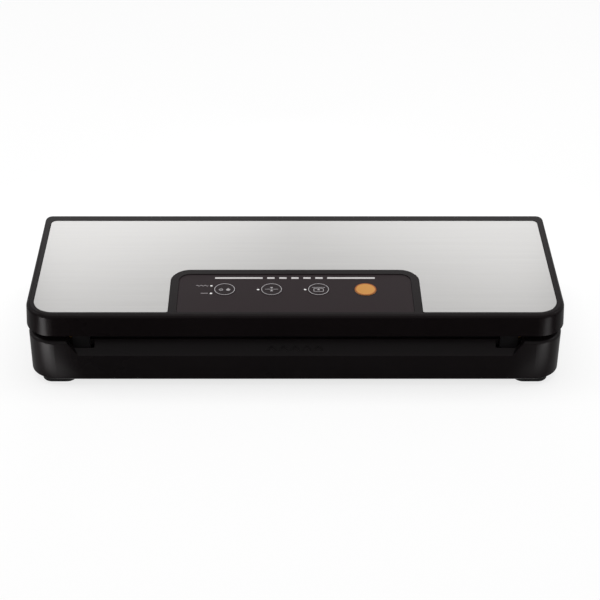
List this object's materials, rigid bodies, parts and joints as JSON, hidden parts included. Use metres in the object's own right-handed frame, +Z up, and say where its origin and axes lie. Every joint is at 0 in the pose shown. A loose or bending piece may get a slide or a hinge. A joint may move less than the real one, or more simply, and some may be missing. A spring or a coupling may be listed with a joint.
{
  "type": "vacuum sealer",
  "caption": "Flat countertop vacuum sealer with a hinged steel-topped lid, round keys, a front bag slot, a heated sealing bar, a gasketed vacuum trough and a pump inside.",
  "frame": {"origin": "middle of the footprint, on the plane of the feet", "axes": "+X to the right of someone at the front, +Y to the hinge at the back, +Z up"},
  "size_m": [0.37, 0.135, 0.0582],
  "materials": {
    "lid_plastic": "satin moulded black plastic",
    "base_plastic": "satin moulded black plastic",
    "brushed_steel": "fine straight brushing along X",
    "panel_plastic": "matte printed overlay, brownish black",
    "key_plastic": "matte cap with a printed ring",
    "orange_plastic": "matte orange cap",
    "light_plastic": "milky light guide",
    "circuit_board": "green solder mask",
    "switch_plastic": "black plastic",
    "inner_plastic": "fine grained black plastic",
    "silicone": "dark grey silicone foam",
    "latch_plastic": "hard black plastic",
    "zinc_steel": "bright zinc plate",
    "aluminium": "extruded, bare",
    "motor_steel": "drawn can",
    "nichrome": "rolled resistance strip",
    "glass_cloth": "woven glass tape with a non-stick coat",
    "brass": "machined",
    "foot_rubber": "soft black rubber",
    "tube_silicone": "clear grey tube",
    "pump_plastic": "glass filled plastic",
    "winding": "taped copper winding"
  },
  "bodies": {
    "base": {"base_shell": "base_plastic", "vacuum_trough": "base_plastic", "bottom_cover": "base_plastic", "bottom_screws": "zinc_steel", "foot_front_left": "foot_rubber", "foot_front_right": "foot_rubber", "foot_back_left": "foot_rubber", "foot_back_right": "foot_rubber", "lower_gasket": "silicone", "heater_rail": "aluminium", "heater_terminals": "brass", "heating_element": "nichrome", "release_tape": "glass_cloth", "hinge_pin_left": "zinc_steel", "hinge_pin_right": "zinc_steel", "return_spring_left": "zinc_steel", "return_spring_right": "zinc_steel", "lid_switch": "switch_plastic", "pump_crankcase": "pump_plastic", "cylinder_head": "aluminium", "pump_motor": "motor_steel", "motor_bracket": "zinc_steel", "vacuum_tube": "tube_silicone", "valve_tube": "tube_silicone", "valve_body": "pump_plastic", "valve_coil": "winding", "valve_frame": "zinc_steel", "power_board": "circuit_board", "transformer": "winding", "capacitor": "aluminium", "relay": "switch_plastic", "inlet_socket": "switch_plastic", "inlet_pins": "brass"},
    "lid": {"lid_shell": "lid_plastic", "top_plate": "brushed_steel", "control_panel": "panel_plastic", "light_guide": "light_plastic", "indicator_lenses": "light_plastic", "control_board": "circuit_board", "tact_switches": "switch_plastic", "lid_inner_cover": "inner_plastic", "upper_gasket": "silicone", "pressure_strip": "silicone", "lid_screws": "zinc_steel", "hook_left": "latch_plastic", "hook_right": "latch_plastic"},
    "mode_key": {"mode_key": "key_plastic"},
    "seal_key": {"seal_key": "key_plastic"},
    "vacuum_seal_key": {"vacuum_seal_key": "key_plastic"},
    "start_key": {"start_key": "orange_plastic"},
    "release_left": {"release_button_left": "latch_plastic"},
    "release_right": {"release_button_right": "latch_plastic"},
    "crankshaft": {"pump_crankshaft": "zinc_steel"},
    "piston": {"pump_piston": "pump_plastic"},
    "valve_plunger": {"valve_plunger": "zinc_steel"}
  },
  "joints": [
    {"name": "lid_hinge", "type": "hinge", "parent": "base", "child": "lid", "pos_m": [0, 0.0615, 0.0377], "axis": [-1, 0, 0], "range_deg": [0, 75]},
    {"name": "mode_key_press", "type": "slide", "parent": "lid", "child": "mode_key", "axis": [0, 0, -1], "range_m": [0, 0.0005], "stiffness_N_per_m": 1500, "springref_m": -0.0004},
    {"name": "seal_key_press", "type": "slide", "parent": "lid", "child": "seal_key", "axis": [0, 0, -1], "range_m": [0, 0.0005], "stiffness_N_per_m": 1500, "springref_m": -0.0004},
    {"name": "vacuum_seal_key_press", "type": "slide", "parent": "lid", "child": "vacuum_seal_key", "axis": [0, 0, -1], "range_m": [0, 0.0005], "stiffness_N_per_m": 1500, "springref_m": -0.0004},
    {"name": "start_key_press", "type": "slide", "parent": "lid", "child": "start_key", "axis": [0, 0, -1], "range_m": [0, 0.0005], "stiffness_N_per_m": 1500, "springref_m": -0.0004},
    {"name": "release_left_press", "type": "slide", "parent": "base", "child": "release_left", "axis": [1, 0, 0], "range_m": [0, 0.003], "stiffness_N_per_m": 600, "springref_m": -0.003, "deforming": ["return_spring_left"]},
    {"name": "release_right_press", "type": "slide", "parent": "base", "child": "release_right", "axis": [-1, 0, 0], "range_m": [0, 0.003], "stiffness_N_per_m": 600, "springref_m": -0.003, "deforming": ["return_spring_right"]},
    {"name": "crankshaft_spin", "type": "hinge", "parent": "base", "child": "crankshaft", "pos_m": [0, 0.034, 0.02015], "axis": [1, 0, 0], "continuous": true},
    {"name": "piston_stroke", "type": "slide", "parent": "base", "child": "piston", "axis": [0, 1, 0], "range_m": [-0.0015, 0.0015]},
    {"name": "valve_open", "type": "slide", "parent": "base", "child": "valve_plunger", "axis": [0, 1, 0], "range_m": [0, 0.0015], "stiffness_N_per_m": 400, "springref_m": -0.003}
  ]
}
